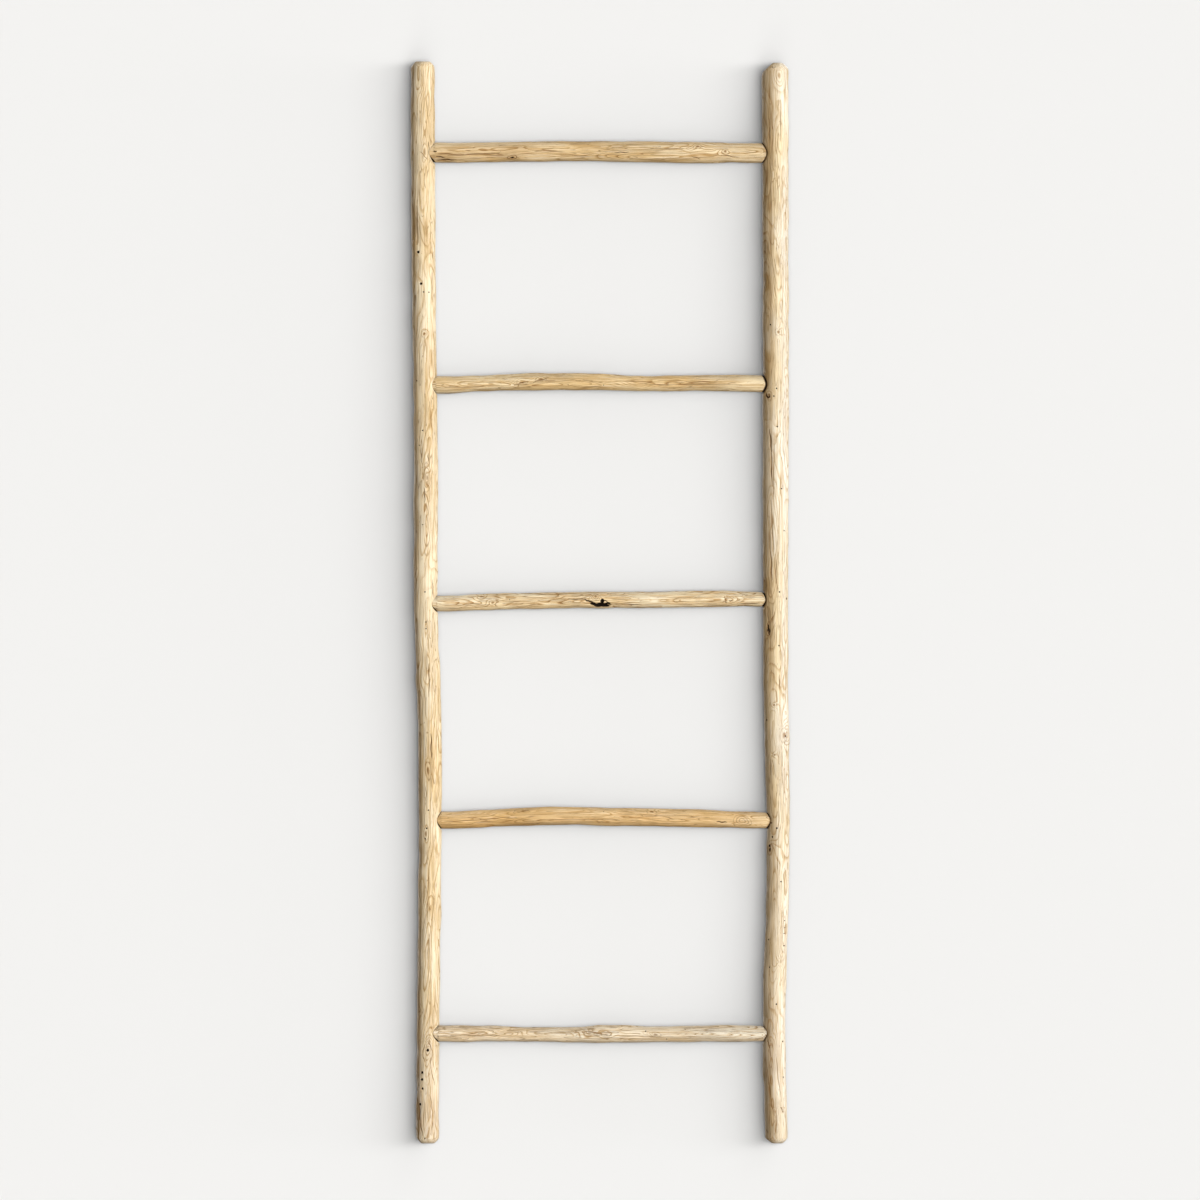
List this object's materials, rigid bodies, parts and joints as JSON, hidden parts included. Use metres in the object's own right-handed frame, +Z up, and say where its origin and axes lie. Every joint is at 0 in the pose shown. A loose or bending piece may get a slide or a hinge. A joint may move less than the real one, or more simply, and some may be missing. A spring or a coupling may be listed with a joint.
{
  "type": "driftwood ladder",
  "caption": "Leaning decorative ladder of peeled, weathered branch wood: round poles with round rungs set in blind sockets and nailed, for towels, blankets or plants.",
  "frame": {"origin": "on the floor midway between the two feet, at the middle of the poles' thickness", "axes": "+Z up along the poles, +X to the right as seen from the front, +Y from the front towards the wall that the ladder leans on"},
  "size_m": [0.6127, 0.0481, 1.75],
  "materials": {
    "pole_wood": "peeled, weathered branch wood, pale honey bleached to cream, bare and matt",
    "rung_wood": "peeled, weathered branch wood, golden honey, bare and matt",
    "nail_steel": "dark lost-head steel nail"
  },
  "bodies": {
    "root": {"left_rail": "pole_wood", "right_rail": "pole_wood", "rung_1": "rung_wood", "rung_2": "rung_wood", "rung_3": "rung_wood", "rung_4": "rung_wood", "rung_5": "rung_wood", "left_nail_1": "nail_steel", "left_nail_2": "nail_steel", "left_nail_3": "nail_steel", "left_nail_4": "nail_steel", "left_nail_5": "nail_steel", "right_nail_1": "nail_steel", "right_nail_2": "nail_steel", "right_nail_3": "nail_steel", "right_nail_4": "nail_steel", "right_nail_5": "nail_steel"}
  },
  "joints": []
}
